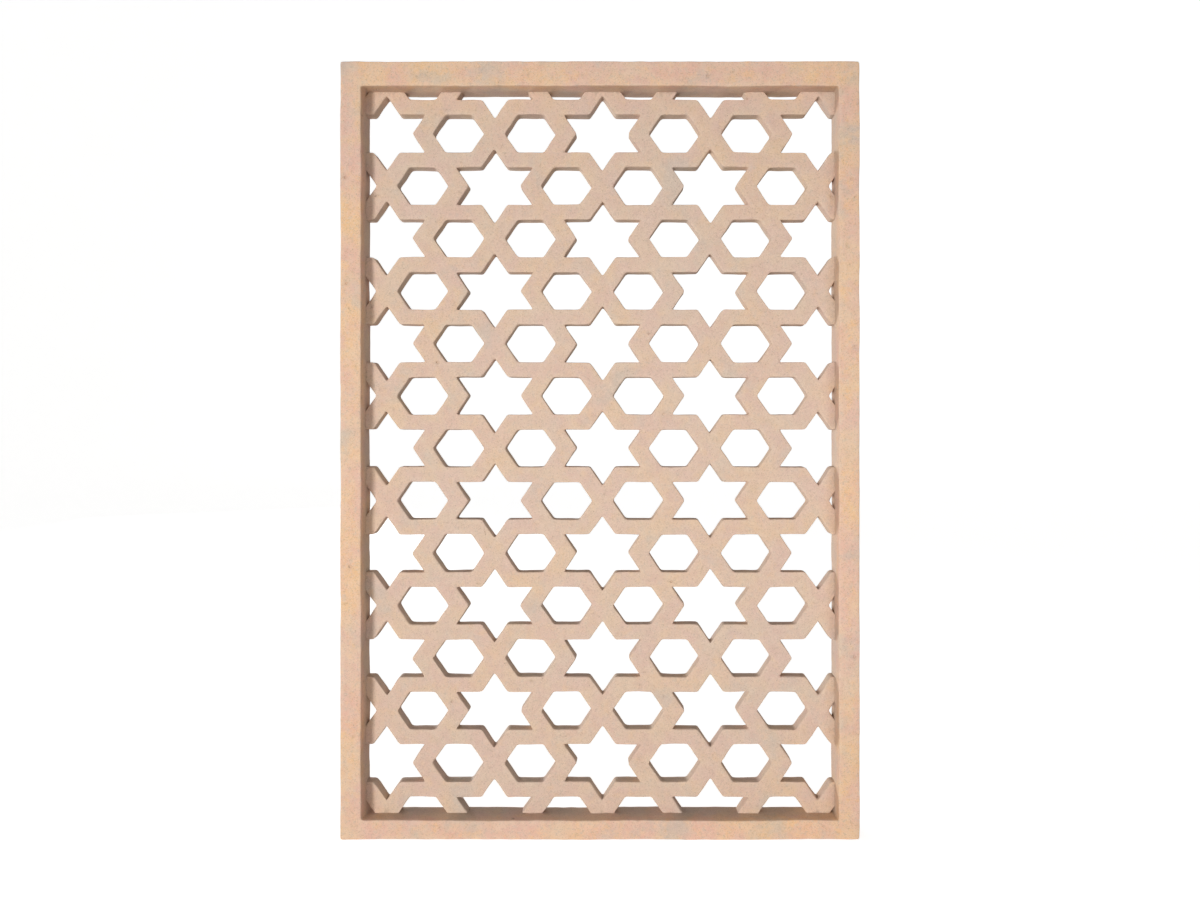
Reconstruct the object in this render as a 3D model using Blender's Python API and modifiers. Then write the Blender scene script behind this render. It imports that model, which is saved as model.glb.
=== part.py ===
"""A concrete jali panel, cast in one piece, to be built into a wall opening.

A screen of six-pointed stars and hexagons fills a deep plain border. The screen is thinner than the
border and lies near its back, so there is a recess on the front. The panel stands upright on the XY
plane, faces -Y, and has its origin at the middle of its underside. All lengths are in metres.
"""

import math

import bmesh
import bpy
from mathutils import Matrix

# The whole panel.
PANEL_WIDTH = 0.610
PANEL_HEIGHT = 0.914
PANEL_DEPTH = 0.040

# The faces of the border that frames the screen.
BORDER_SIDE = 0.0245
BORDER_TOP = 0.029
BORDER_BOTTOM = 0.0225
BORDER_ARRIS = 0.0015

# The pierced screen. A star stands a little right of and above the panel's centre, by the two shifts,
# and the pattern runs on under the border.
SCREEN_THICKNESS = 0.017
SCREEN_SET_IN = 0.002
STAR_SPACING_X = 0.2583
STAR_SPACING_Z = 0.1256
RIB_WIDTH = 0.018
SCREEN_SHIFT_X = 0.0025
SCREEN_SHIFT_Z = 0.002

# A cut-off opening is cast solid if less than this of it would show inside the border.
LEAST_SHOWING = 0.0015

# How far a cutter runs past the face that it opens.
CUTTER_OVERRUN = 0.005

CONCRETE_COLOUR = (0.68, 0.50, 0.36, 1.0)
CONCRETE_ROUGHNESS = 0.92

# The pattern is laid out on a triangular lattice and stretched sideways to the star spacing.
SITE_SPACING_X = STAR_SPACING_X / 3
ROW_SPACING_Z = STAR_SPACING_Z / 2
STRETCH = STAR_SPACING_X / (math.sqrt(3) * STAR_SPACING_Z)
# From the middle of an opening to each of its sides, before the stretch.
APOTHEM = STAR_SPACING_Z / 4 - RIB_WIDTH / 2

FRONT_Y = -PANEL_DEPTH / 2
BACK_Y = PANEL_DEPTH / 2
SCREEN_BACK_Y = BACK_Y - SCREEN_SET_IN
SCREEN_FRONT_Y = SCREEN_BACK_Y - SCREEN_THICKNESS
DAYLIGHT_LEFT = BORDER_SIDE - PANEL_WIDTH / 2
DAYLIGHT_RIGHT = PANEL_WIDTH / 2 - BORDER_SIDE
DAYLIGHT_LOW = BORDER_BOTTOM
DAYLIGHT_HIGH = PANEL_HEIGHT - BORDER_TOP


def clear_scene():
    """Empties the scene of every object."""
    for old in list(bpy.data.objects):
        bpy.data.objects.remove(old, do_unlink=True)


def new_collection(name):
    """A collection of this name, linked to the scene."""
    collection = bpy.data.collections.new(name)
    bpy.context.scene.collection.children.link(collection)
    return collection


def box(name, low, high, collection):
    """A box between two corners, with its object's origin at the world's."""
    bm = bmesh.new()
    bmesh.ops.create_cube(bm, size=1.0)
    for corner in bm.verts:
        corner.co = [far if side > 0 else near for side, near, far in zip(corner.co, low, high)]
    mesh = bpy.data.meshes.new(name)
    bm.to_mesh(mesh)
    bm.free()
    placed = bpy.data.objects.new(name, mesh)
    collection.objects.link(placed)
    return placed


def as_helper(helper):
    """Marks an object that only shapes the panel and isn't part of it."""
    helper.hide_render = True
    helper.display_type = "WIRE"
    return helper


def boolean(target, name, operation, other):
    """Adds an exact Boolean modifier."""
    modifier = target.modifiers.new(name, "BOOLEAN")
    modifier.operation = operation
    modifier.solver = "EXACT"
    modifier.object = other


def outline(centre, radii):
    """The corners of an opening: the radii are taken in turn round the circle, then stretched in x.

    Six equal radii give a hexagon with points at its sides, and twelve that alternate give a star.
    """
    step = 2 * math.pi / len(radii)
    return [
        (
            centre[0] + STRETCH * radius * math.cos(step * turn),
            centre[1] + radius * math.sin(step * turn),
        )
        for turn, radius in enumerate(radii)
    ]


def hexagon(centre):
    """A hexagonal opening: its six sides are an apothem from the centre."""
    return outline(centre, [APOTHEM / math.cos(math.pi / 6)] * 6)


def star(centre):
    """A star opening: two crossed triangles, so its notches are where a hexagon's corners would be."""
    return outline(centre, [APOTHEM / math.cos(math.pi / 6), 2 * APOTHEM] * 6)


def shows(corners):
    """Whether enough of an opening lies inside the border to be cast open."""
    across = [x for x, _ in corners]
    upward = [z for _, z in corners]
    return (
        min(across) < DAYLIGHT_RIGHT - LEAST_SHOWING
        and max(across) > DAYLIGHT_LEFT + LEAST_SHOWING
        and min(upward) < DAYLIGHT_HIGH - LEAST_SHOWING
        and max(upward) > DAYLIGHT_LOW + LEAST_SHOWING
    )


def openings():
    """The outlines of all openings that show, row by row.

    Every other row has a star on the pattern's middle line, and the rows between are shifted by half a site.
    One site in three holds a star, and the other two hold hexagons.
    """
    rows = math.ceil(PANEL_HEIGHT / STAR_SPACING_Z) + 1
    columns = math.ceil(PANEL_WIDTH / SITE_SPACING_X) + 1
    found = []
    for row in range(-rows, rows + 1):
        shifted = row % 2
        for column in range(-columns, columns + 1):
            centre = (
                SCREEN_SHIFT_X + (column + shifted / 2) * SITE_SPACING_X,
                PANEL_HEIGHT / 2 + SCREEN_SHIFT_Z + row * ROW_SPACING_Z,
            )
            corners = star(centre) if column % 3 == shifted else hexagon(centre)
            if shows(corners):
                found.append(corners)
    return found


def openings_cutter(helpers):
    """Prisms through the screen, in the shape of its openings."""
    curve = bpy.data.curves.new("openings_outline", "CURVE")
    curve.dimensions = "2D"
    curve.fill_mode = "BOTH"
    curve.extrude = SCREEN_THICKNESS / 2 + CUTTER_OVERRUN
    for corners in openings():
        spline = curve.splines.new("POLY")
        spline.points.add(len(corners) - 1)
        spline.use_cyclic_u = True
        for point, (x, z) in zip(spline.points, corners):
            point.co = (x, z, 0.0, 1.0)
    flat = bpy.data.objects.new("openings_outline", curve)
    helpers.objects.link(flat)
    middle = (SCREEN_FRONT_Y + SCREEN_BACK_Y) / 2
    flat.matrix_world = Matrix.Translation((0, middle, 0)) @ Matrix.Rotation(math.pi / 2, 4, "X")
    bpy.context.view_layer.update()

    graph = bpy.context.evaluated_depsgraph_get()
    mesh = bpy.data.meshes.new_from_object(flat.evaluated_get(graph))
    bm = bmesh.new()
    bm.from_mesh(mesh)
    bmesh.ops.remove_doubles(bm, verts=bm.verts, dist=1e-6)
    bmesh.ops.recalc_face_normals(bm, faces=bm.faces)
    bm.to_mesh(mesh)
    bm.free()
    prisms = bpy.data.objects.new("openings_cutter", mesh)
    prisms.matrix_world = flat.matrix_world
    helpers.objects.link(prisms)
    bpy.data.objects.remove(flat, do_unlink=True)
    return as_helper(prisms)


def screen(helpers):
    """The pierced screen by itself. Its edges run halfway into the border, which takes them up."""
    blank = box(
        "screen",
        (DAYLIGHT_LEFT - BORDER_SIDE / 2, SCREEN_FRONT_Y, DAYLIGHT_LOW - BORDER_BOTTOM / 2),
        (DAYLIGHT_RIGHT + BORDER_SIDE / 2, SCREEN_BACK_Y, DAYLIGHT_HIGH + BORDER_TOP / 2),
        helpers,
    )
    boolean(blank, "openings", "DIFFERENCE", openings_cutter(helpers))
    return as_helper(blank)


def daylight_cutter(helpers):
    """The opening through the border."""
    return as_helper(
        box(
            "daylight_cutter",
            (DAYLIGHT_LEFT, FRONT_Y - CUTTER_OVERRUN, DAYLIGHT_LOW),
            (DAYLIGHT_RIGHT, BACK_Y + CUTTER_OVERRUN, DAYLIGHT_HIGH),
            helpers,
        )
    )


def mouth_cutter(helpers):
    """A block with sides at 45 degrees that eases the arris round the mouth of the recess."""
    inward = CUTTER_OVERRUN
    cutter = box(
        "mouth_cutter",
        (DAYLIGHT_LEFT + inward, FRONT_Y - inward, DAYLIGHT_LOW + inward),
        (DAYLIGHT_RIGHT - inward, FRONT_Y + BORDER_ARRIS + inward, DAYLIGHT_HIGH - inward),
        helpers,
    )
    flare = BORDER_ARRIS + 2 * inward
    for corner in cutter.data.vertices:
        if corner.co.y < FRONT_Y:
            corner.co.x += math.copysign(flare, corner.co.x)
            corner.co.z += math.copysign(flare, corner.co.z - PANEL_HEIGHT / 2)
    return as_helper(cutter)


def concrete():
    """Buff cast concrete, dry and matt."""
    material = bpy.data.materials.new("buff_concrete")
    material.use_nodes = True
    shader = material.node_tree.nodes["Principled BSDF"]
    shader.inputs["Base Color"].default_value = CONCRETE_COLOUR
    shader.inputs["Roughness"].default_value = CONCRETE_ROUGHNESS
    shader.inputs["Metallic"].default_value = 0.0
    return material


def jali_panel(parts, helpers):
    """The casting: a border with eased arrises, and the pierced screen that is cast with it."""
    panel = box(
        "jali_panel",
        (-PANEL_WIDTH / 2, FRONT_Y, 0),
        (PANEL_WIDTH / 2, BACK_Y, PANEL_HEIGHT),
        parts,
    )
    panel.data.materials.append(concrete())
    arris = panel.modifiers.new("arris", "BEVEL")
    arris.width = BORDER_ARRIS
    arris.segments = 1
    arris.limit_method = "ANGLE"
    arris.angle_limit = math.radians(60)
    boolean(panel, "daylight", "DIFFERENCE", daylight_cutter(helpers))
    boolean(panel, "mouth", "DIFFERENCE", mouth_cutter(helpers))
    boolean(panel, "screen", "UNION", screen(helpers))
    return panel


def main():
    clear_scene()
    parts = new_collection("concrete_jali_panel")
    helpers = new_collection("cutters")
    jali_panel(parts, helpers)


main()
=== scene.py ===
"""The looks of a concrete jali panel: one casting of stars and hexagons in a deep border.

The casting is modelled here as a fine mesh worked out with numpy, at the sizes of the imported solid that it
stands for, with rounded arrises, uneven faces and small air holes. It stands in a pale round studio.
All lengths are in metres, +Z is up, and the front of the panel faces -Y.
"""

import logging
import math
from dataclasses import dataclass, field
from enum import Enum

import bpy
import numpy as np
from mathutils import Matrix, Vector


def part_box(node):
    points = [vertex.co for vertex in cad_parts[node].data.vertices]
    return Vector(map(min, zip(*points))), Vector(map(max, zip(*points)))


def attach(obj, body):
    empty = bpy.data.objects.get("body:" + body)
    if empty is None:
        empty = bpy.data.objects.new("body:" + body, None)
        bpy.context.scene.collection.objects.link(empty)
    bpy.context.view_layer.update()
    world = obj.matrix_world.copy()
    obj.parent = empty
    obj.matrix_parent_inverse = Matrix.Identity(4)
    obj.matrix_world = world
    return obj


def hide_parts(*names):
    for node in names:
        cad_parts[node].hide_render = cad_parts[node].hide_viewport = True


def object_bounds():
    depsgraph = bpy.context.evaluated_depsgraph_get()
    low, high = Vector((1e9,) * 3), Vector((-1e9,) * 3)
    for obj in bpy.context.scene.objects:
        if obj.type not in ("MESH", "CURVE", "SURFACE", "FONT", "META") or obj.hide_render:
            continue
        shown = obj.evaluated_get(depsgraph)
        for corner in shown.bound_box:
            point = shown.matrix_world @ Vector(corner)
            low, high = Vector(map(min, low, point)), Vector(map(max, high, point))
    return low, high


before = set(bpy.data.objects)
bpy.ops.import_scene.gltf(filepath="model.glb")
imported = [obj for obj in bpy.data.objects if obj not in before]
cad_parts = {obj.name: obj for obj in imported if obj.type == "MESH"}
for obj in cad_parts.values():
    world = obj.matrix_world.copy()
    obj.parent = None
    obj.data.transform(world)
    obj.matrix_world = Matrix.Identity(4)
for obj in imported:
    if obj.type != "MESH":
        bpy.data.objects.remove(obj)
CAD_LOW, CAD_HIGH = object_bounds()

SOLID = "jali_panel"
BODY = "root"
MILLIMETRE = 0.001
LOG = logging.getLogger("jali_panel")

Colour = tuple[float, float, float]
Place = tuple[float, float, float]


@dataclass
class Surface:
    """Points, and the four-sided faces between them, as whole arrays."""

    points: np.ndarray
    quads: np.ndarray

    @classmethod
    def from_grid(
        cls, grid: np.ndarray, closed_path: bool = True, closed_profile: bool = False
    ) -> "Surface":
        """A profile carried along a path: face (i, j) joins (i, j), (i+1, j), (i+1, j+1) and (i, j+1).

        Args:
            grid: points[path, profile, xyz].
            closed_path: whether the path index wraps round.
            closed_profile: whether the profile index wraps round, as on a border.

        Returns:
            The surface, with shared points along a seam that wraps.
        """
        along, across = grid.shape[:2]
        i = np.arange(along if closed_path else along - 1)[:, None]
        j = np.arange(across if closed_profile else across - 1)[None, :]
        after_i = (i + 1) % along
        after_j = (j + 1) % across
        corners = [i * across + j, after_i * across + j, after_i * across + after_j, i * across + after_j]
        return cls(grid.reshape(-1, 3), np.stack(corners, axis=-1).reshape(-1, 4))

    @classmethod
    def joined(cls, surfaces: list["Surface"]) -> "Surface":
        """Several surfaces as one, with their points still apart.

        Args:
            surfaces: the surfaces, in order.

        Returns:
            One surface with all their points and faces.
        """
        starts = np.cumsum([0] + [len(one.points) for one in surfaces[:-1]])
        quads = [one.quads + start for one, start in zip(surfaces, starts)]
        return cls(np.concatenate([one.points for one in surfaces]), np.concatenate(quads))

    @classmethod
    def ball(cls, squares: int) -> "Surface":
        """A ball of radius one: a cube's faces cut into squares, and each point divided by its length.

        Args:
            squares: how many squares stand along a cube's edge.

        Returns:
            The ball, closed and with its faces outwards.
        """
        step = np.tan(np.linspace(-math.pi / 4, math.pi / 4, squares + 1))
        u, v = np.meshgrid(step, step, indexing="ij")
        one = np.ones_like(u)
        sides = []
        for axis in range(3):
            for side in ([one, u, v], [-one, v, u]):
                grid = np.roll(np.stack(side, axis=-1), axis, axis=-1)
                sides.append(cls.from_grid(grid, closed_path=False))
        cube = cls.joined(sides).welded()[0]
        return cls(cube.points / np.linalg.norm(cube.points, axis=1, keepdims=True), cube.quads)

    def welded(self, distance: float = 1e-6) -> tuple["Surface", np.ndarray]:
        """The surface with points that lie together made one.

        Args:
            distance: the side of the cells that points are gathered in.

        Returns:
            The surface, and the new index of each old point.
        """
        # The cells are moved off round numbers, where many points lie, so that their rims split no pair.
        off_grid = 0.31831
        cells = np.round(self.points / distance + off_grid).astype(np.int64)
        _, first, new_index = np.unique(cells, axis=0, return_index=True, return_inverse=True)
        new_index = new_index.ravel()
        return Surface(self.points[first], new_index[self.quads]), new_index

    def to_object(self, name: str) -> bpy.types.Object:
        """Makes a mesh of the surface.

        Args:
            name: the name of the object and of its mesh.

        Returns:
            The object, at the origin and linked to the scene.
        """
        mesh = bpy.data.meshes.new(name)
        mesh.from_pydata(self.points.tolist(), [], self.quads.tolist())
        mesh.update()
        placed = bpy.data.objects.new(name, mesh)
        bpy.context.scene.collection.objects.link(placed)
        return placed


def soft_waves(points: np.ndarray, wavelength: float, seed: int, channels: int = 1) -> np.ndarray:
    """Smooth noise: the sum of plane waves with random headings and starts, scaled to a spread of one.

    Args:
        points: where it is wanted, n by 3.
        wavelength: the mean length of the waves.
        seed: picks the headings and starts.
        channels: how many separate noises are wanted.

    Returns:
        The noises, n by channels.
    """
    waves = 18
    shortest, longest = 0.7, 1.5
    random = np.random.default_rng(seed)
    found = np.zeros((len(points), channels))
    for channel in range(channels):
        heading = random.normal(size=(3, waves))
        heading /= np.linalg.norm(heading, axis=0)
        pitch = 2 * math.pi / (wavelength * random.uniform(shortest, longest, waves))
        start = random.uniform(0, 2 * math.pi, waves)
        found[:, channel] = np.sin(points @ (heading * pitch) + start).sum(axis=1) * math.sqrt(2 / waves)
    return found


def smooth_step(values: np.ndarray, start: float, end: float) -> np.ndarray:
    """Goes from 0 at the start to 1 at the end as 3t^2 - 2t^3, with t the clamped share of the way.

    Args:
        values: where it is wanted.
        start: the value that gives 0.
        end: the value that gives 1.

    Returns:
        The steps, in the shape of the values.
    """
    share = ((values - start) / (end - start)).clip(0, 1)
    return share**2 * (3 - 2 * share)


def corner_parabola(
    corner: np.ndarray, inward: np.ndarray, outward: np.ndarray, past: np.ndarray, reach: np.ndarray
) -> np.ndarray:
    """The rounded point at a distance past a corner: (1-v)^2 A + 2v(1-v) C + v^2 B.

    C is the corner, A and B are the points where the parabola touches the sides, and v goes from 0 at A to
    1 at B.

    Args:
        corner: the corner.
        inward: the heading along the side before it.
        outward: the heading along the side after it.
        past: how far past the corner the point would lie, negative before it.
        reach: how far from the corner the rounding starts and ends.

    Returns:
        The point on the parabola.
    """
    v = (1 + past / reach) / 2
    first = corner - inward * reach
    last = corner + outward * reach
    return (1 - v) ** 2 * first + 2 * v * (1 - v) * corner + v**2 * last


def rounded_outline(corners: np.ndarray, shares: np.ndarray, rounding: np.ndarray) -> np.ndarray:
    """A closed outline with its corners rounded by a different amount at each step of a profile.

    A point lies at its share of the way along a side. Where it is nearer to a corner than the rounding, it
    moves to the parabola that touches both sides at that distance.

    Args:
        corners: the outline's corners in order, k by 2, or k by profile steps by 2.
        shares: where the points of a side lie, from 0 at its first corner to below 1.
        rounding: the distance from a corner at which it starts to be rounded, for each profile step.

    Returns:
        The points, (k * shares) by profile steps by 2.
    """
    if corners.ndim == 2:
        corners = np.repeat(corners[:, None, :], len(rounding), axis=1)
    here = corners[:, None]
    after = np.roll(corners, -1, axis=0)[:, None]
    side = np.linalg.norm(after - here, axis=-1, keepdims=True)
    heading = (after - here) / side
    before_heading = np.roll(heading, 1, axis=0)
    after_heading = np.roll(heading, -1, axis=0)
    share = shares[None, :, None, None]
    reach = np.maximum(rounding, 1e-9)[None, None, :, None]

    straight = here + share * side * heading
    from_start = share * side
    to_end = (1 - share) * side
    near_start = corner_parabola(here, before_heading, heading, from_start, reach)
    near_end = corner_parabola(after, heading, after_heading, -to_end, reach)
    points = np.where(from_start < reach, near_start, np.where(to_end < reach, near_end, straight))
    return points.reshape(-1, len(rounding), 2)


class Opening(Enum):
    """The two shapes of opening in the screen."""

    HEXAGON = "hexagon"
    STAR = "star"

    def corners(self, apothem: float) -> np.ndarray:
        """The corners of its tile, before the stretch: every side is an apothem from the centre.

        Args:
            apothem: the distance from the centre to each side.

        Returns:
            Six corners of a hexagon, or twelve of two crossed triangles, counterclockwise from the front.
        """
        notch = apothem / math.cos(math.pi / 6)
        radii = np.array([notch] * 6 if self is Opening.HEXAGON else [notch, 2 * apothem] * 6)
        angles = np.arange(len(radii)) * 2 * math.pi / len(radii)
        return np.stack([radii * np.cos(angles), radii * np.sin(angles)], axis=-1)


@dataclass
class Weathering:
    """How far the cast surface departs from its mould, and how the open back was floated flat by hand."""

    broad_length: float = 0.085
    broad_height: float = 0.00022
    close_length: float = 0.016
    close_height: float = 0.00010
    stroke_length: float = 0.070
    stroke_width: float = 0.014
    stroke_depth: float = 0.00035
    floated_from: float = 0.009
    floated_to: float = 0.002
    seed: int = 11

    def uneven(self, points: np.ndarray) -> np.ndarray:
        """The points moved by smooth noises, which depend on the place alone, so shared points stay joined.

        Two noises act in every direction. Near the back a third, long in x and short in z, presses the
        points inwards in y by depth * |noise| * (smooth step towards the back).

        Args:
            points: the points, n by 3.

        Returns:
            The moved points.
        """
        broad = self.broad_height * soft_waves(points, self.broad_length, self.seed, 3)
        close = self.close_height * soft_waves(points, self.close_length, self.seed + 1, 3)
        moved = points + broad + close
        squeezed = points * np.array([self.stroke_width / self.stroke_length, 0, 1])
        strokes = np.abs(soft_waves(squeezed, self.stroke_width, self.seed + 2)[:, 0])
        moved[:, 1] -= self.stroke_depth * strokes * self.floated(points)
        return moved

    def floated(self, points: np.ndarray) -> np.ndarray:
        """How much each point belongs to the floated back, from 0 to 1.

        Args:
            points: the points, n by 3.

        Returns:
            A share for each point, which rises towards the back.
        """
        return smooth_step(points[:, 1], CAD_HIGH.y - self.floated_from, CAD_HIGH.y - self.floated_to)


@dataclass
class Border:
    """The deep plain border, as a profile with rounded arrises carried round a rectangle."""

    low: Vector
    high: Vector
    side: float = 0.0245
    top: float = 0.029
    bottom: float = 0.0225
    arris: float = 0.0016
    back_arris: float = 0.0012
    corner: float = 0.0030
    step: float = 0.0055

    @property
    def daylight(self) -> tuple[float, float, float, float]:
        """Left, right, low and high edge of the opening inside the border."""
        return (
            self.low.x + self.side,
            self.high.x - self.side,
            self.low.z + self.bottom,
            self.high.z - self.top,
        )

    def profile(self) -> tuple[np.ndarray, np.ndarray, np.ndarray]:
        """The closed profile, from the outer front arris inwards, back along the wall, and round again.

        Returns:
            For each point, its share of the way from the outer to the inner edge, its distance beyond that
            towards the inner edge, and its depth y.
        """
        quarter = np.linspace(0, math.pi / 2, 4)
        front, back = self.low.y, self.high.y
        face = np.linspace(0, 1, 5)[1:-1]
        wall = np.linspace(0, 1, 7)[1:-1]
        r, b = self.arris, self.back_arris
        outer_front = (0 * quarter, r * (1 - np.cos(quarter)), front + r * (1 - np.sin(quarter)))
        ordered = [
            outer_front,
            (face, 0 * face, front + 0 * face),
            (1 + 0 * quarter, -r * (1 - np.sin(quarter)), front + r * (1 - np.cos(quarter))),
            (1 + 0 * wall, 0 * wall, front + r + (back - b - front - r) * wall),
            (1 + 0 * quarter, -b * (1 - np.cos(quarter)), back - b * (1 - np.sin(quarter))),
            (1 - face, 0 * face, back + 0 * face),
            (0 * quarter, b * (1 - np.sin(quarter)), back - b * (1 - np.cos(quarter))),
            (0 * wall, 0 * wall, back - b - (back - b - front - r) * wall),
        ]
        share, beyond, depth = (np.concatenate(column) for column in zip(*ordered))
        return share, beyond, depth

    def surface(self) -> Surface:
        """The border's skin: each profile point gives a rectangle between the outer and the inner one.

        Returns:
            The skin, closed both ways.
        """
        share, beyond, depth = self.profile()
        left, right, low, high = self.daylight
        outer = (self.low.x, self.high.x, self.low.z, self.high.z)
        sign = (1, -1, 1, -1)
        edges = [a + (b - a) * share + s * beyond for a, b, s in zip(outer, (left, right, low, high), sign)]
        x0, x1, z0, z1 = edges
        corners = np.stack([np.stack(pair, axis=-1) for pair in ((x0, z0), (x1, z0), (x1, z1), (x0, z1))])
        length = self.high.z - self.low.z
        ends = self.corner / length * np.array([0, 0.5, 1.0])
        inner = np.linspace(ends[-1], 1 - ends[-1], round(length / self.step))
        shares = np.concatenate([ends, inner[1:-1], 1 - ends[:0:-1]])
        path = rounded_outline(corners, shares, np.full(len(share), self.corner))
        grid = np.stack([path[..., 0], np.broadcast_to(depth, path.shape[:2]), path[..., 1]], axis=-1)
        return Surface.from_grid(grid, closed_profile=True)

    def flats(self, recess_back: float) -> list[tuple[Place, Place]]:
        """The border's flat faces: front and back strips, outer edges, and the walls of the recess.

        Args:
            recess_back: the depth y at which the walls of the recess meet the screen.

        Returns:
            Each face as the low and the high corner of a box with no thickness.
        """
        left, right, low, high = self.daylight
        x0, y0, z0 = self.low
        x1, y1, z1 = self.high
        strips = [(x0, left, z0, z1), (right, x1, z0, z1), (left, right, z0, low), (left, right, high, z1)]
        found = [((a, y, c), (b, y, d)) for y in (y0, y1) for a, b, c, d in strips]
        found += [((x, y0, z0), (x, y1, z1)) for x in (x0, x1)]
        found += [((x0, y0, z), (x1, y1, z)) for z in (z0, z1)]
        found += [((x, y0, low), (x, recess_back, high)) for x in (left, right)]
        found += [((left, y0, z), (right, recess_back, z)) for z in (low, high)]
        return found


@dataclass
class PiercedScreen:
    """The screen of ribs between the openings, laid out as tiles that meet on the ribs' centre lines.

    A face has one more loop of points than its edges need, at face_loop or back_loop of the way from the
    centre line to the arris. Wear makes the arrises rounder or sharper, over stretches of about wear_length,
    and crowding draws the points of a side towards its corners.
    """

    border: Border
    spacing_x: float = 0.2583
    spacing_z: float = 0.1256
    rib: float = 0.018
    thickness: float = 0.017
    set_in: float = 0.002
    shift_x: float = 0.0025
    shift_z: float = 0.002
    arris: float = 0.0013
    back_arris: float = 0.0009
    arris_change: float = 0.35
    draft: float = 0.00025
    corner: float = 0.0034
    into_border: float = 0.008
    wear_length: float = 0.05
    most_wear: float = 1.8
    face_loop: float = 0.55
    back_loop: float = 0.5
    points_a_side: int = 8
    crowding: float = 0.62
    seed: int = 5

    @property
    def apothem(self) -> float:
        """From the middle of a tile to each of its sides, before the stretch."""
        return self.spacing_z / 4

    @property
    def stretch(self) -> float:
        """How much wider than regular the pattern is."""
        return self.spacing_x / (math.sqrt(3) * self.spacing_z)

    @property
    def back(self) -> float:
        """The depth y of the ribs' backs."""
        return self.border.high.y - self.set_in

    @property
    def front(self) -> float:
        """The depth y of the ribs' faces."""
        return self.back - self.thickness

    @property
    def reach(self) -> tuple[float, float, float, float]:
        """The rectangle that the screen fills: the daylight and a strip inside the border all round."""
        left, right, low, high = self.border.daylight
        grow = self.into_border
        return left - grow, right + grow, low - grow, high + grow

    def sites(self) -> list[tuple[Opening, float, float]]:
        """Every tile that the screen needs, on a triangular lattice of which one site in three is a star.

        Returns:
            The shape and the centre of each tile that reaches into the screen.
        """
        left, right, low, high = self.reach
        centre_z = (self.border.low.z + self.border.high.z) / 2 + self.shift_z
        site_x = self.spacing_x / 3
        row_z = self.spacing_z / 2
        rows = math.ceil((high - low) / row_z)
        columns = math.ceil((right - left) / site_x)
        found = []
        for row in range(-rows, rows + 1):
            shifted = row % 2
            for column in range(-columns, columns + 1):
                shape = Opening.STAR if column % 3 == shifted else Opening.HEXAGON
                x = self.shift_x + (column + shifted / 2) * site_x
                z = centre_z + row * row_z
                half_x, half_z = np.abs(shape.corners(self.apothem)).max(axis=0)
                half_x *= self.stretch
                if x + half_x > left and x - half_x < right and z + half_z > low and z - half_z < high:
                    found.append((shape, x, z))
        return found

    def rib_profile(self, wear: np.ndarray) -> tuple[np.ndarray, np.ndarray]:
        """Half of a rib's section: face, rounded arris, wall, rounded back arris and back.

        Args:
            wear: how much rounder than usual the arris is at each point of the path.

        Returns:
            The distance from the rib's centre line and the depth y, each path by profile.
        """
        half = self.rib / 2
        front, back = self.front, self.back
        front_radius = self.arris * (1 + self.arris_change * wear)[:, None]
        back_radius = self.back_arris * (1 + self.arris_change * wear)[:, None]
        turn = np.linspace(0, math.pi / 2, 4)
        back_turn = np.linspace(0, math.pi / 2, 3)
        ones = np.ones((len(wear), 1))
        away = [
            0 * ones,
            self.face_loop * (half - front_radius),
            half - front_radius * (1 - np.sin(turn)),
            (half + self.draft / 2) * ones,
            half + self.draft - back_radius * (1 - np.cos(back_turn)),
            self.back_loop * (half - back_radius),
            0 * ones,
        ]
        depth = [
            front * ones,
            front * ones,
            front + front_radius * (1 - np.cos(turn)),
            (front + back) / 2 * ones,
            back - back_radius * (1 - np.sin(back_turn)),
            back * ones,
            back * ones,
        ]
        return np.concatenate(away, axis=1), np.concatenate(depth, axis=1)

    def tile(self, shape: Opening, x: float, z: float) -> Surface:
        """The concrete round one opening, out to the centre lines of its ribs.

        Every side is as far from the centre as the others, so a line at a distance from the centre lines is
        the tile's outline made smaller: point = centre + stretch * (1 - distance / apothem) * outline.

        Args:
            shape: which opening it is.
            x: the tile's centre, sideways.
            z: the tile's centre, upwards.

        Returns:
            Its surface, from the front centre line through the opening to the back centre line.
        """
        corners = shape.corners(self.apothem)
        step = np.arange(self.points_a_side) / self.points_a_side
        shares = step - self.crowding * np.sin(2 * math.pi * step) / (2 * math.pi)
        sharp = rounded_outline(corners, shares, np.zeros(1))[:, 0]
        place = np.array([x, 0, z]) + sharp @ np.array([[self.stretch, 0, 0], [0, 0, 1]])
        wear = soft_waves(place, self.wear_length, self.seed)[:, 0].clip(-self.most_wear, self.most_wear)
        away, depth = self.rib_profile(wear)
        openness = away.mean(axis=0) / (self.rib / 2)
        outline = rounded_outline(corners, shares, self.corner * openness**2)
        scaled = outline * (1 - away / self.apothem)[..., None]
        grid = np.stack([x + self.stretch * scaled[..., 0], depth, z + scaled[..., 1]], axis=-1)
        return Surface.from_grid(grid)

    def surface(self) -> Surface:
        """All tiles welded along their ribs, closed by walls where no tile follows.

        Returns:
            The screen's skin, closed.
        """
        tiles = [self.tile(*site) for site in self.sites()]
        starts = np.cumsum([0] + [len(tile.points) for tile in tiles[:-1]])
        across = self.rib_profile(np.zeros(1))[0].shape[1]
        whole, new_index = Surface.joined(tiles).welded()
        along = [start + np.arange(0, len(tile.points), across) for start, tile in zip(starts, tiles)]
        here = np.concatenate(along)
        after = np.concatenate([np.roll(line, -1) for line in along])
        going = new_index[here] * len(new_index) + new_index[after]
        coming = new_index[after] * len(new_index) + new_index[here]
        lone = ~np.isin(going, coming)
        a, b = here[lone], after[lone]
        back = across - 1
        walls = np.stack([b, a, a + back, b + back], axis=-1)
        return Surface(whole.points, np.concatenate([whole.quads, new_index[walls]]))

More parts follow.
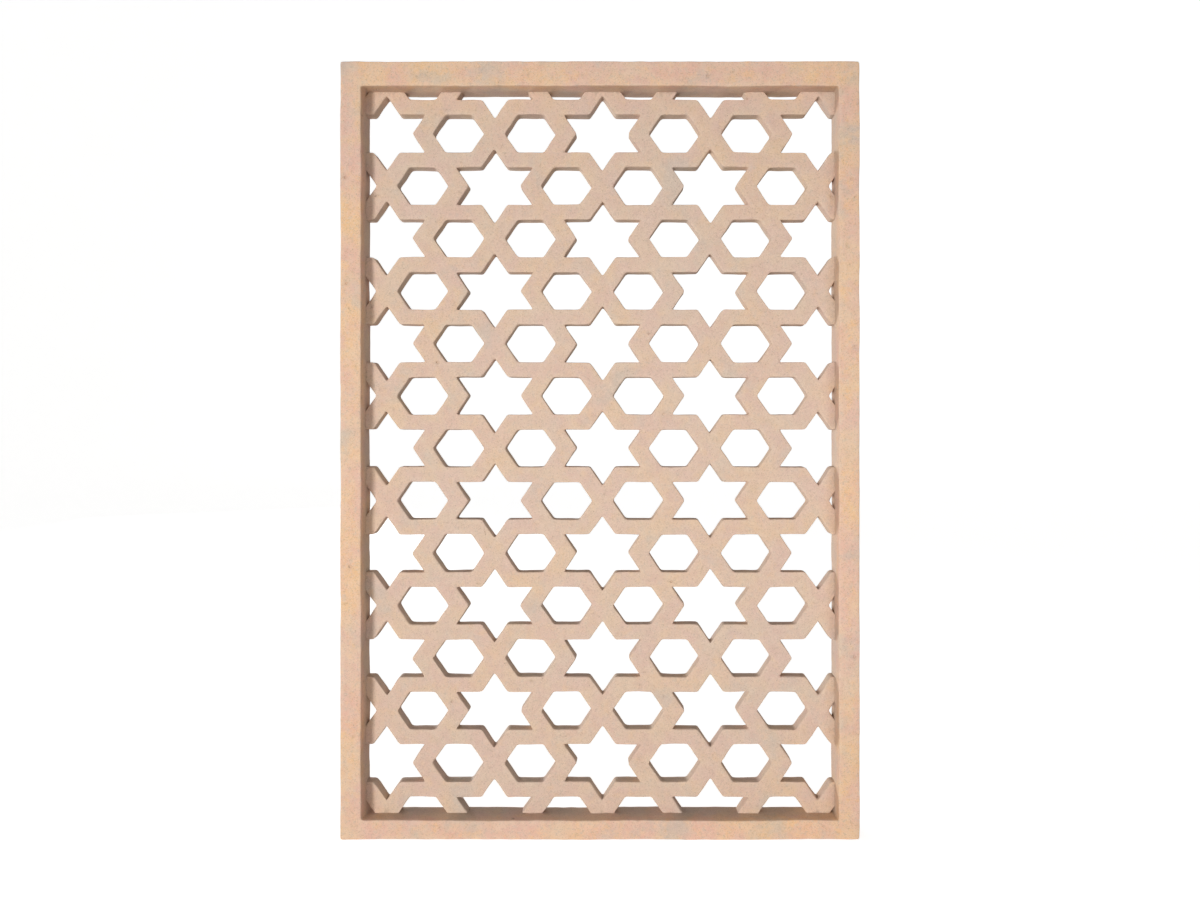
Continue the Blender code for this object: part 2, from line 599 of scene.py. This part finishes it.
    def rib_spots(self, count: int, random: np.random.Generator) -> np.ndarray:
        """Places on the ribs' faces: a share of the way along a tile's side, then a little to its centre.

        Args:
            count: how many are tried. Those outside the daylight are dropped.
            random: picks the tiles, the sides, the shares and the face.

        Returns:
            The places, on the ribs' fronts and backs, n by 3.
        """
        from_end, most_away = 0.1, 0.55
        sites = self.sites()
        left, right, low, high = self.border.daylight
        spots = []
        for _ in range(count):
            shape, x, z = sites[random.integers(len(sites))]
            corners = shape.corners(self.apothem)
            side = random.integers(len(corners))
            share, away = random.uniform(from_end, 1 - from_end), random.uniform(0, most_away)
            place = corners[side] + share * (corners[(side + 1) % len(corners)] - corners[side])
            place = place * (1 - away * self.rib / 2 / self.apothem)
            face = random.choice([self.front, self.back])
            spots.append((x + self.stretch * place[0], face, z + place[1]))
        spots = np.array(spots)
        inside = (spots[:, 0] > left) & (spots[:, 0] < right) & (spots[:, 2] > low) & (spots[:, 2] < high)
        return spots[inside]


@dataclass
class AirHoles:
    """Round air holes left in the cast faces, as balls that are cut away, squashed towards the face.

    They keep a margin from the edges of a face, and lie at least the distance apart from each other. The rim
    is how far the mark of a hole reaches from its centre, in the hole's half sizes.
    """

    per_square_metre: float = 420.0
    tried_on_ribs: int = 60
    smallest: float = 0.0007
    largest: float = 0.0019
    depth_share: float = 0.8
    lumpiness: float = 0.2
    margin: float = 0.004
    apart: float = 0.007
    rim: float = 1.25
    squares: int = 3
    seed: int = 23

    def placed(self, border: Border, screen: PiercedScreen) -> tuple[np.ndarray, np.ndarray]:
        """Scatters the holes: low + share * (high - low) on each flat face, and spots on the ribs.

        Args:
            border: has the flat faces, each of which gets holes by its area.
            screen: has the ribs.

        Returns:
            The centre of each hole and its half sizes, each n by 3.
        """
        random = np.random.default_rng(self.seed)
        centres, flat_axes = [], []
        for low, high in border.flats(screen.front):
            low, high = np.array(low), np.array(high)
            axis = int(np.argmin(high - low))
            wide = np.arange(3) != axis
            low, high = low + self.margin * wide, high - self.margin * wide
            count = round(self.per_square_metre * np.prod((high - low)[wide]))
            centres.append(low + random.uniform(size=(count, 3)) * (high - low))
            flat_axes.append(np.full(count, axis))
        on_ribs = screen.rib_spots(self.tried_on_ribs, random)
        centres = np.concatenate(centres + [on_ribs])
        flat_axes = np.concatenate(flat_axes + [np.full(len(on_ribs), 1)])
        gaps = np.linalg.norm(centres[:, None] - centres[None], axis=-1)
        kept = ~(np.tril(gaps < self.apart, -1).any(axis=1))
        centres, flat_axes = centres[kept], flat_axes[kept]
        spread = random.uniform(size=(len(centres), 1)) ** 2
        lumps = random.uniform(1 - self.lumpiness, 1 + self.lumpiness, (len(centres), 3))
        halves = (self.smallest + (self.largest - self.smallest) * spread) * lumps
        halves[np.arange(len(centres)), flat_axes] *= self.depth_share
        return centres, halves

    def cutter(self, centres: np.ndarray, halves: np.ndarray) -> Surface:
        """A ball round each centre: point = centre + half sizes * (point of a ball of radius one).

        Args:
            centres: the holes' centres, n by 3.
            halves: their half sizes, n by 3.

        Returns:
            All the balls.
        """
        ball = Surface.ball(self.squares)
        points = centres[:, None] + halves[:, None] * ball.points[None]
        quads = ball.quads[None] + len(ball.points) * np.arange(len(centres))[:, None, None]
        return Surface(points.reshape(-1, 3), quads.reshape(-1, 4))

    def hollow(self, points: np.ndarray, centres: np.ndarray, halves: np.ndarray) -> np.ndarray:
        """How near each point is to a hole, measured in the hole's half sizes.

        Args:
            points: the points, n by 3.
            centres: the holes' centres.
            halves: their half sizes.

        Returns:
            For each point, the rim's reach less its distance, so it is above 0 only in a hole or on its rim.
        """
        found = np.zeros(len(points))
        for centre, half in zip(centres, halves):
            away = np.linalg.norm((points - centre) / half, axis=1)
            found = np.maximum(found, self.rim - away)
        return found


@dataclass(frozen=True)
class CastConcrete:
    """Dry buff concrete, mottled peach and grey, with sand in its skin, paler worn arrises, and painted
    shade in its recess, corners, pinholes and air holes.

    The mottle has three sizes, each given as its number of waves in a metre. The pinholes' radius is a share
    of their spacing.
    """

    body: Colour = (0.71, 0.515, 0.372)
    warm: Colour = (0.82, 0.510, 0.255)
    rose: Colour = (0.72, 0.430, 0.365)
    grey: Colour = (0.50, 0.455, 0.400)
    pale: Colour = (0.83, 0.66, 0.52)
    sand_dark: Colour = (0.40, 0.28, 0.195)
    recess_shade_tone: Colour = (0.59, 0.485, 0.41)
    shade_brown: Colour = (0.33, 0.235, 0.165)
    drift_waves: float = 7.0
    cloud_waves: float = 26.0
    fleck_waves: float = 95.0
    smoothest: float = 0.84
    roughest: float = 0.95
    specular: float = 0.25
    grain: float = 0.0010
    pinhole_spacing: float = 0.009
    pinhole_radius: float = 0.09
    float_stroke: float = 0.004

    def colour(self, pen: "NodePen", place: bpy.types.NodeSocket) -> bpy.types.NodeSocket:
        """The colour: clouds of tone, a greyer floated back, painted shade in the recess, sand grains, worn
        arrises, and painted shade in corners, pinholes and air holes.

        Args:
            pen: writes into the material.
            place: the object coordinates.

        Returns:
            The colour's socket.
        """
        drift, cloud, fleck = (
            pen.group(mottle_group(), {"Position": place, "Scale": waves})
            for waves in (self.drift_waves, self.cloud_waves, self.fleck_waves)
        )
        sand = pen.group(sand_group(), {"Position": place, "Grain": self.grain})
        pits = self.pinholes(pen, place)
        wear = pen.group(
            wear_and_shade_group(), {"Position": place, "Arris": pen.stored("arris"), "Corner": pen.stored("corner")}
        )
        layers = [
            (drift.outputs["Broad"], 0.90, self.warm),
            (cloud.outputs["Broad"], 0.75, self.rose),
            (drift.outputs["Patches"], 0.60, self.grey),
            (cloud.outputs["Patches"], 0.55, self.warm),
            (fleck.outputs["Broad"], 0.22, self.pale),
            (fleck.outputs["Patches"], 0.30, self.grey),
            (pen.stored("floated"), 0.35, self.grey),
            # Painted shade: greyer and darker deeper in the recess, over its walls and the whole screen.
            (pen.stored("recess_shade"), 0.45, self.recess_shade_tone),
            (sand.outputs["Dark"], 0.34, self.sand_dark),
            (sand.outputs["Light"], 0.30, self.pale),
            (wear.outputs["Worn"], 0.55, self.pale),
            # Painted shade: darker in concave corners.
            (wear.outputs["CornerShade"], 0.60, self.shade_brown),
            # Painted shade inside the pinholes.
            (pits.outputs["Mask"], 0.45, self.shade_brown),
            # Painted shade inside the air holes.
            (pen.stored("hollow"), 0.75, self.shade_brown),
        ]
        colour = self.body
        for mask, share, towards in layers:
            colour = pen.mix(pen.math("MULTIPLY", mask, share), colour, towards)
        return colour

    def pinholes(self, pen: "NodePen", place: bpy.types.NodeSocket) -> bpy.types.Node:
        """Places the pinholes.

        Args:
            pen: writes into the material.
            place: the object coordinates.

        Returns:
            The group's node, with the pinholes' painted shade and their height.
        """
        sizes = {"Spacing": self.pinhole_spacing, "Radius": self.pinhole_radius}
        return pen.group(pit_group(), {"Position": place, **sizes})

    def relief(self, pen: "NodePen", place: bpy.types.NodeSocket) -> bpy.types.NodeSocket:
        """The fine relief: sand, pinholes and, on the back, the marks of the float, in millimetres.

        Args:
            pen: writes into the material.
            place: the object coordinates.

        Returns:
            The height's socket.
        """
        sand = pen.group(sand_group(), {"Position": place, "Grain": self.grain})
        pits = self.pinholes(pen, place)
        marks = pen.group(float_group(), {"Position": place, "Stroke": self.float_stroke})
        floated = pen.math("MULTIPLY", marks.outputs["Height"], pen.stored("floated"))
        height = pen.math("ADD", sand.outputs["Height"], pits.outputs["Height"])
        return pen.math("ADD", height, floated)

    def material(self) -> bpy.types.Material:
        """Makes the material from the shared groups and this finish's values.

        Returns:
            The material.
        """
        made = bpy.data.materials.new("buff_concrete_finish")
        made.use_nodes = True
        tree = made.node_tree
        shader = tree.nodes["Principled BSDF"]
        shader.inputs["Specular IOR Level"].default_value = self.specular
        pen = NodePen(tree)
        place = pen.add("ShaderNodeTexCoord").outputs["Object"]
        tree.links.new(self.colour(pen, place), shader.inputs["Base Color"])
        damp = pen.group(mottle_group(), {"Position": place, "Scale": self.cloud_waves})
        rough = pen.span(damp.outputs["Broad"], self.smoothest, self.roughest)
        tree.links.new(rough, shader.inputs["Roughness"])
        bump = pen.add("ShaderNodeBump")
        bump.inputs["Distance"].default_value = MILLIMETRE
        bump.inputs["Strength"].default_value = 1.0
        tree.links.new(self.relief(pen, place), bump.inputs["Height"])
        tree.links.new(bump.outputs["Normal"], shader.inputs["Normal"])
        return made


class NodePen:
    """Writes nodes into a tree, in few words."""

    def __init__(self, tree: bpy.types.NodeTree) -> None:
        """Keeps the tree to write in."""
        self.tree = tree

    def add(self, kind: str, **settings: object) -> bpy.types.Node:
        """Adds a node.

        Args:
            kind: the node's type.
            **settings: its properties, by name.

        Returns:
            The node.
        """
        node = self.tree.nodes.new(kind)
        for name, value in settings.items():
            setattr(node, name, value)
        return node

    def feed(self, socket: bpy.types.NodeSocket, value: object) -> None:
        """Links a socket to the value, or sets it.

        Args:
            socket: the input.
            value: an output to link from, a colour or a number.
        """
        if isinstance(value, bpy.types.NodeSocket):
            self.tree.links.new(value, socket)
        elif isinstance(value, tuple):
            socket.default_value = (*value, 1.0)
        else:
            socket.default_value = value

    def math(self, operation: str, *values: object) -> bpy.types.NodeSocket:
        """Works out a sum.

        Args:
            operation: the Math node's operation.
            *values: its inputs, as sockets or numbers.

        Returns:
            The result.
        """
        node = self.add("ShaderNodeMath", operation=operation)
        for socket, value in zip(node.inputs, values):
            self.feed(socket, value)
        return node.outputs[0]

    def span(
        self, value: object, low: float, high: float, start: float = 0, end: float = 1
    ) -> bpy.types.NodeSocket:
        """Maps a value smoothly from one range to another.

        Args:
            value: the value.
            low: the result at the start.
            high: the result at the end.
            start: where the range of the value starts.
            end: where it ends.

        Returns:
            The result.
        """
        node = self.add("ShaderNodeMapRange", interpolation_type="SMOOTHSTEP")
        for name, number in (("From Min", start), ("From Max", end), ("To Min", low), ("To Max", high)):
            node.inputs[name].default_value = number
        self.feed(node.inputs["Value"], value)
        return node.outputs["Result"]

    def mix(self, share: object, first: object, second: object) -> bpy.types.NodeSocket:
        """Mixes one colour with another.

        Args:
            share: how much of the second is taken.
            first: the first colour, as a socket or numbers.
            second: the second colour.

        Returns:
            The mixed colour.
        """
        node = self.add("ShaderNodeMix", data_type="RGBA")
        self.feed(node.inputs["Factor"], share)
        self.feed(node.inputs[6], first)
        self.feed(node.inputs[7], second)
        return node.outputs[2]

    def noise(
        self, position: object, scale: object, detail: float, rough: float = 0.5
    ) -> bpy.types.NodeSocket:
        """Takes fractal noise at a position.

        Args:
            position: the position's socket.
            scale: how many waves there are in a metre.
            detail: how many finer layers it has.
            rough: how strong the finer layers are.

        Returns:
            The noise, between 0 and 1.
        """
        node = self.add("ShaderNodeTexNoise")
        self.feed(node.inputs["Vector"], position)
        self.feed(node.inputs["Scale"], scale)
        node.inputs["Detail"].default_value = detail
        node.inputs["Roughness"].default_value = rough
        return node.outputs["Fac"]

    def cells(self, position: object, across: object) -> bpy.types.Node:
        """Takes a pattern of cells, one round each of a set of scattered points.

        Args:
            position: the position's socket.
            across: how far apart the points are, in metres.

        Returns:
            The node, with the distance to the nearest point and a colour for each cell.
        """
        node = self.add("ShaderNodeTexVoronoi", feature="F1")
        self.feed(node.inputs["Vector"], position)
        self.feed(node.inputs["Scale"], self.math("DIVIDE", 1.0, across))
        return node

    def stored(self, name: str) -> bpy.types.NodeSocket:
        """A value stored on the mesh's points."""
        return self.add("ShaderNodeAttribute", attribute_name=name).outputs["Fac"]

    def group(self, tree: bpy.types.NodeTree, values: dict[str, object]) -> bpy.types.Node:
        """Places a group.

        Args:
            tree: the group.
            values: what feeds its inputs, by name.

        Returns:
            The group's node.
        """
        node = self.add("ShaderNodeGroup", node_tree=tree)
        for name, value in values.items():
            self.feed(node.inputs[name], value)
        return node


def new_group(
    name: str, inputs: dict[str, str], outputs: list[str]
) -> tuple[bpy.types.NodeTree, NodePen, bpy.types.Node, bpy.types.Node]:
    """A shader node group with named sockets.

    Args:
        name: the group's name.
        inputs: each input's name and whether it is a Float or a Vector.
        outputs: the names of its outputs, which are all Floats.

    Returns:
        The group, a pen for it, its input node and its output node.
    """
    tree = bpy.data.node_groups.new(name, "ShaderNodeTree")
    for socket, kind in inputs.items():
        tree.interface.new_socket(socket, in_out="INPUT", socket_type="NodeSocket" + kind)
    for socket in outputs:
        tree.interface.new_socket(socket, in_out="OUTPUT", socket_type="NodeSocketFloat")
    pen = NodePen(tree)
    return tree, pen, pen.add("NodeGroupInput"), pen.add("NodeGroupOutput")


def mottle_group() -> bpy.types.NodeTree:
    """Cloudy differences in tone: Broad drifts over the face, and Patches are islands with soft rims.

    Returns:
        The group, made on its first use.
    """
    if "cast_mottle" in bpy.data.node_groups:
        return bpy.data.node_groups["cast_mottle"]
    inputs = {"Position": "Vector", "Scale": "Float"}
    tree, pen, given, wanted = new_group("cast_mottle", inputs, ["Broad", "Patches"])
    patch_waves = 2.3
    broad = pen.noise(given.outputs["Position"], given.outputs["Scale"], 4.0, 0.62)
    finer = pen.math("MULTIPLY", given.outputs["Scale"], patch_waves)
    patches = pen.noise(given.outputs["Position"], finer, 5.0, 0.6)
    pen.feed(wanted.inputs["Broad"], pen.span(broad, 0.0, 1.0, 0.34, 0.66))
    pen.feed(wanted.inputs["Patches"], pen.span(patches, 0.0, 1.0, 0.52, 0.70))
    return tree


def sand_group() -> bpy.types.NodeTree:
    """Sand in the skin: separate dark and light grains, and their height in millimetres.

    Returns:
        The group, made on its first use.
    """
    if "sand_skin" in bpy.data.node_groups:
        return bpy.data.node_groups["sand_skin"]
    inputs = {"Position": "Vector", "Grain": "Float"}
    tree, pen, given, wanted = new_group("sand_skin", inputs, ["Dark", "Light", "Height"])
    waves_a_grain, skin_height, grain_height = 0.45, 0.16, 0.06
    cells = pen.cells(given.outputs["Position"], given.outputs["Grain"])
    tone = pen.add("ShaderNodeSeparateColor")
    pen.feed(tone.inputs["Color"], cells.outputs["Color"])
    pen.feed(wanted.inputs["Dark"], pen.span(tone.outputs["Red"], 0.0, 1.0, 0.72, 0.95))
    pen.feed(wanted.inputs["Light"], pen.span(tone.outputs["Green"], 0.0, 1.0, 0.70, 0.95))
    waves = pen.math("DIVIDE", waves_a_grain, given.outputs["Grain"])
    skin = pen.noise(given.outputs["Position"], waves, 3.0, 0.6)
    grains = pen.math("MULTIPLY", cells.outputs["Distance"], -grain_height)
    pen.feed(wanted.inputs["Height"], pen.math("MULTIPLY_ADD", skin, skin_height, grains))
    return tree


def pit_group() -> bpy.types.NodeTree:
    """Pinholes: small round hollows at scattered points, as a mask of painted shade and as a height in
    millimetres.

    Their radius is given as a share of their spacing.

    Returns:
        The group, made on its first use.
    """
    if "pinholes" in bpy.data.node_groups:
        return bpy.data.node_groups["pinholes"]
    inputs = {"Position": "Vector", "Spacing": "Float", "Radius": "Float"}
    tree, pen, given, wanted = new_group("pinholes", inputs, ["Mask", "Height"])
    deepest = 0.5
    cells = pen.cells(given.outputs["Position"], given.outputs["Spacing"])
    inside = pen.math("SUBTRACT", given.outputs["Radius"], cells.outputs["Distance"])
    depth = pen.math("MAXIMUM", pen.math("DIVIDE", inside, given.outputs["Radius"]), 0.0)
    pen.feed(wanted.inputs["Mask"], pen.span(depth, 0.0, 1.0, 0.0, 0.5))
    pen.feed(wanted.inputs["Height"], pen.math("MULTIPLY", depth, -deepest))
    return tree


def wear_and_shade_group() -> bpy.types.NodeTree:
    """Worn arrises and painted shade in concave corners: the stored masks broken up by noise, so that
    neither runs as a line.

    Returns:
        The group, made on its first use.
    """
    if "edge_wear_and_corner_shade" in bpy.data.node_groups:
        return bpy.data.node_groups["edge_wear_and_corner_shade"]
    inputs = {"Position": "Vector", "Arris": "Float", "Corner": "Float"}
    tree, pen, given, wanted = new_group("edge_wear_and_corner_shade", inputs, ["Worn", "CornerShade"])
    rub_waves, corner_shade_waves = 130.0, 45.0
    rubbed = pen.span(pen.noise(given.outputs["Position"], rub_waves, 4.0, 0.6), 0.25, 1.0, 0.38, 0.62)
    corner_breakup = pen.span(pen.noise(given.outputs["Position"], corner_shade_waves, 4.0, 0.6), 0.45, 1.0, 0.35, 0.62)
    pen.feed(wanted.inputs["Worn"], pen.math("MULTIPLY", given.outputs["Arris"], rubbed))
    pen.feed(wanted.inputs["CornerShade"], pen.math("MULTIPLY", given.outputs["Corner"], corner_breakup))
    return tree


def float_group() -> bpy.types.NodeTree:
    """Marks of a wooden float: noise drawn out along x, with its height in millimetres.

    Returns:
        The group, made on its first use.
    """
    if "float_marks" in bpy.data.node_groups:
        return bpy.data.node_groups["float_marks"]
    inputs = {"Position": "Vector", "Stroke": "Float"}
    tree, pen, given, wanted = new_group("float_marks", inputs, ["Height"])
    squeeze, height = 0.14, 0.9
    drawn = pen.add("ShaderNodeMapping")
    drawn.inputs["Scale"].default_value = (squeeze, 1.0, 1.0)
    pen.feed(drawn.inputs["Vector"], given.outputs["Position"])
    scale = pen.math("DIVIDE", 1.0, given.outputs["Stroke"])
    strokes = pen.noise(drawn.outputs["Vector"], scale, 5.0, 0.65)
    pen.feed(wanted.inputs["Height"], pen.math("MULTIPLY", strokes, height))
    return tree


@dataclass
class JaliPanel:
    """The casting: the border and the pierced screen, made one.

    An edge that turns by more than the crease is shaded sharp, and edge_gain is how strongly a bend in the
    surface is marked as an arris or a corner.
    """

    border: Border
    screen: PiercedScreen
    weathering: Weathering = field(default_factory=Weathering)
    air_holes: AirHoles = field(default_factory=AirHoles)
    finish: CastConcrete = field(default_factory=CastConcrete)
    crease: float = math.radians(38)
    edge_gain: float = 4.0

    def __post_init__(self) -> None:
        """Places the air holes, on the uneven faces."""
        centres, halves = self.air_holes.placed(self.border, self.screen)
        self.hole_centres = self.weathering.uneven(centres)
        self.hole_halves = halves

    def cut_block(self) -> Surface:
        """A plain block the size of the screen with its edges inside the border, deeper than the screen.

        Returns:
            The block.
        """
        left, right, low, high = self.screen.reach
        front = self.screen.front - self.screen.thickness / 4
        back = self.screen.back + self.screen.thickness / 4
        corner = np.array([[x, y, z] for z in (low, high) for y in (front, back) for x in (left, right)])
        quads = [[0, 1, 5, 4], [1, 3, 7, 5], [3, 2, 6, 7], [2, 0, 4, 6], [4, 5, 7, 6], [0, 2, 3, 1]]
        return Surface(corner, np.array(quads))

    def build(self) -> bpy.types.Object:
        """Makes the two skins, trims the screen to the border, joins them and cuts the air holes.

        Returns:
            The casting as one closed mesh.
        """
        border = self.border.surface()
        border.points = self.weathering.uneven(border.points).clip(CAD_LOW, CAD_HIGH)
        screen = self.screen.surface()
        screen.points = self.weathering.uneven(screen.points)
        holes = self.air_holes.cutter(self.hole_centres, self.hole_halves)
        body = screen.to_object("cast_jali_panel")
        steps = [
            ("INTERSECT", self.cut_block().to_object("trim")),
            ("UNION", border.to_object("border_skin")),
            ("DIFFERENCE", holes.to_object("air_holes")),
        ]
        for operation, other in steps:
            step = body.modifiers.new(other.name, "BOOLEAN")
            step.operation = operation
            step.solver = "EXACT"
            step.object = other
        bpy.context.view_layer.update()
        graph = bpy.context.evaluated_depsgraph_get()
        mesh = bpy.data.meshes.new_from_object(body.evaluated_get(graph))
        body.modifiers.clear()
        body.data = mesh
        mesh.name = body.name
        for _, other in steps:
            bpy.data.objects.remove(other, do_unlink=True)
        return body

    def mark(self, mesh: bpy.types.Mesh) -> None:
        """Stores on each point what the finish needs to know of it.

        The fall below the point's tangent plane over the edge's length, averaged over its edges, is positive
        on an arris and negative in a corner. Points in air holes are left out of both and marked hollow, and
        points that face backwards near the back are marked floated. The corner mark carries painted shade
        into concave corners, and a mask of painted shade rises from the border's face to the screen's face.

        Args:
            mesh: the casting's mesh.
        """
        count = len(mesh.vertices)
        points = np.empty(count * 3)
        normals = np.empty(count * 3)
        ends = np.empty(len(mesh.edges) * 2, dtype=np.int32)
        mesh.vertices.foreach_get("co", points)
        mesh.vertex_normals.foreach_get("vector", normals)
        mesh.edges.foreach_get("vertices", ends)
        points, normals, ends = points.reshape(-1, 3), normals.reshape(-1, 3), ends.reshape(-1, 2)
        way = points[ends[:, 1]] - points[ends[:, 0]]
        way /= np.maximum(np.linalg.norm(way, axis=1, keepdims=True), 1e-9)
        total = np.zeros(count)
        number = np.zeros(count)
        for end, sign in ((0, -1.0), (1, 1.0)):
            np.add.at(total, ends[:, end], sign * (normals[ends[:, end]] * way).sum(axis=1))
            np.add.at(number, ends[:, end], 1)
        hollow = self.air_holes.hollow(points, self.hole_centres, self.hole_halves)
        fall = self.edge_gain * total / np.maximum(number, 1) * (hollow == 0)
        marks = {
            "arris": fall,
            "corner": -fall,
            "hollow": hollow,
            "floated": self.weathering.floated(points) * normals[:, 1],
            "recess_shade": smooth_step(points[:, 1], self.border.low.y + self.border.arris, self.screen.front),
        }
        for name, values in marks.items():
            stored = mesh.attributes.new(name, "FLOAT", "POINT")
            stored.data.foreach_set("value", values.clip(0, 1).astype(np.float32))

    def dress(self, body: bpy.types.Object) -> None:
        """Shades the mesh, gives it its finish and ties it to the frame.

        Args:
            body: the casting.
        """
        mesh = body.data
        mesh.materials.clear()
        mesh.materials.append(self.finish.material())
        mesh.polygons.foreach_set("material_index", np.zeros(len(mesh.polygons), dtype=np.int32))
        mesh.polygons.foreach_set("use_smooth", np.ones(len(mesh.polygons), dtype=bool))
        mesh.set_sharp_from_angle(angle=self.crease)
        self.mark(mesh)
        mesh.update()
        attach(body, BODY)
        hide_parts(SOLID)

    def make(self) -> bpy.types.Object:
        """Builds and dresses the casting.

        Returns:
            The casting.
        """
        body = self.build()
        self.dress(body)
        return body


@dataclass
class Lamp:
    """A soft rectangular light that looks at one point."""

    name: str
    place: Place
    power: float
    width: float
    height: float
    spread: float = math.radians(70)

    def make(self, aim: Place) -> bpy.types.Object:
        """Makes the light.

        Args:
            aim: the point that it looks at.

        Returns:
            The light, which doesn't show itself to the camera.
        """
        lamp = bpy.data.lights.new(self.name, "AREA")
        lamp.shape = "RECTANGLE"
        lamp.energy = self.power
        lamp.size = self.width
        lamp.size_y = self.height
        lamp.spread = self.spread
        placed = bpy.data.objects.new(self.name, lamp)
        placed.location = self.place
        placed.rotation_euler = (Vector(aim) - Vector(self.place)).to_track_quat("-Z", "Y").to_euler()
        placed.visible_camera = False
        bpy.context.scene.collection.objects.link(placed)
        return placed


@dataclass
class Studio:
    """A pale round floor that curves up into a wall, low soft lights in front and behind, and the camera."""

    floor_radius: float = 6.0
    cove_radius: float = 2.0
    wall_height: float = 5.0
    stage_colour: Colour = (0.90, 0.895, 0.885)
    stage_glow: float = 0.75
    sky: float = 0.28
    aim: Place = (0.0, 0.0, 0.45)
    key: Lamp = field(default_factory=lambda: Lamp("key", (-2.65, -5.1, 0.18), 30.5, 1.3, 0.35))
    fill: Lamp = field(default_factory=lambda: Lamp("fill", (0.8, -1.9, 0.12), 1.65, 1.2, 0.2))
    back: Lamp = field(default_factory=lambda: Lamp("back", (-2.15, 4.05, 0.30), 21.0, 1.4, 0.5))

    # The photo's frame is 1200 px wide. In it, lines square to the panel meet at the meeting point, and
    # the panel's front begins at panel_left and stands on panel_bottom.
    image_width: float = 1200.0
    image_centre: tuple[float, float] = (600.0, 450.0)
    meeting_point: tuple[float, float] = (621.4, 423.6)
    panel_left: float = 340.0
    panel_bottom: float = 840.0
    focal_pixels: float = 912.0
    distance: float = 1.07

    def stage(self) -> bpy.types.Object:
        """The floor and wall: a profile of floor, quarter circle and wall turned about the Z axis.

        Returns:
            The stage, with its faces towards the object.
        """
        turns = 96
        cove = np.linspace(0, math.pi / 2, 14)
        flat = np.linspace(0.0, self.floor_radius, 9)
        rise = self.floor_radius + self.cove_radius * np.sin(cove[1:])
        radius = np.concatenate([flat, rise, [self.floor_radius + self.cove_radius]])
        height = np.concatenate([0 * flat, self.cove_radius * (1 - np.cos(cove[1:])), [self.wall_height]])
        around = np.arange(turns)[:, None] * 2 * math.pi / turns
        level = np.broadcast_to(height, (turns, len(height)))
        grid = np.stack([np.cos(around) * radius, np.sin(around) * radius, level], axis=-1)
        floor = Surface.from_grid(grid[:, ::-1]).to_object("studio_floor")
        floor.data.validate()
        floor.data.polygons.foreach_set("use_smooth", np.ones(len(floor.data.polygons), dtype=bool))
        floor.data.materials.append(self.paper())
        return floor

    def paper(self) -> bpy.types.Material:
        """Pale paper. The camera sees it with a glow that it doesn't cast, as a white ground in a studio.

        Returns:
            The material.
        """
        material = bpy.data.materials.new("studio_paper")
        material.use_nodes = True
        tree = material.node_tree
        pen = NodePen(tree)
        plain = tree.nodes["Principled BSDF"]
        lit = pen.add("ShaderNodeBsdfPrincipled")
        for shader in (plain, lit):
            shader.inputs["Base Color"].default_value = (*self.stage_colour, 1.0)
            shader.inputs["Roughness"].default_value = 1.0
            shader.inputs["Specular IOR Level"].default_value = 0.0
        lit.inputs["Emission Color"].default_value = (1.0, 1.0, 1.0, 1.0)
        lit.inputs["Emission Strength"].default_value = self.stage_glow
        both = pen.add("ShaderNodeMixShader")
        tree.links.new(pen.add("ShaderNodeLightPath").outputs["Is Camera Ray"], both.inputs[0])
        tree.links.new(plain.outputs[0], both.inputs[1])
        tree.links.new(lit.outputs[0], both.inputs[2])
        tree.links.new(both.outputs[0], tree.nodes["Material Output"].inputs["Surface"])
        return material

    def light(self) -> None:
        """Sets the three low lights, and an even pale sky over the open studio."""
        for lamp in (self.key, self.fill, self.back):
            lamp.make(self.aim)
        world = bpy.data.worlds.new("studio_sky")
        world.use_nodes = True
        background = world.node_tree.nodes["Background"]
        background.inputs["Color"].default_value = (1.0, 1.0, 1.0, 1.0)
        background.inputs["Strength"].default_value = self.sky
        bpy.context.scene.world = world

    def camera(self) -> bpy.types.Object:
        """The photo's camera: it looks straight along +Y, with the frame moved so that the panel is centred.

        Returns:
            The camera.
        """
        per_pixel = self.distance / self.focal_pixels
        lens = bpy.data.cameras.new("camera")
        lens.sensor_width = 36.0
        lens.lens = self.focal_pixels / self.image_width * lens.sensor_width
        lens.shift_x = (self.image_centre[0] - self.meeting_point[0]) / self.image_width
        lens.shift_y = (self.meeting_point[1] - self.image_centre[1]) / self.image_width
        placed = bpy.data.objects.new("camera", lens)
        placed.location = (
            CAD_LOW.x + (self.meeting_point[0] - self.panel_left) * per_pixel,
            CAD_LOW.y - self.distance,
            CAD_LOW.z + (self.panel_bottom - self.meeting_point[1]) * per_pixel,
        )
        placed.rotation_euler = (math.pi / 2, 0, 0)
        bpy.context.scene.collection.objects.link(placed)
        bpy.context.scene.camera = placed
        return placed

    def make(self) -> None:
        """Sets the stage, the light and the camera, and plain display of colours."""
        self.stage()
        self.light()
        self.camera()
        bpy.context.scene.view_settings.view_transform = "Standard"


def main() -> None:
    """Builds the casting in its studio and reports it."""
    logging.basicConfig(level=logging.INFO, format="%(name)s: %(message)s")
    low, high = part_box(SOLID)
    border = Border(low, high)
    panel = JaliPanel(border, PiercedScreen(border))
    body = panel.make()
    body.data.calc_loop_triangles()
    LOG.info(
        "%s: %d triangles, %d tiles, %d air holes",
        body.name,
        len(body.data.loop_triangles),
        len(panel.screen.sites()),
        len(panel.hole_centres),
    )
    Studio().make()


if __name__ == "__main__":
    main()
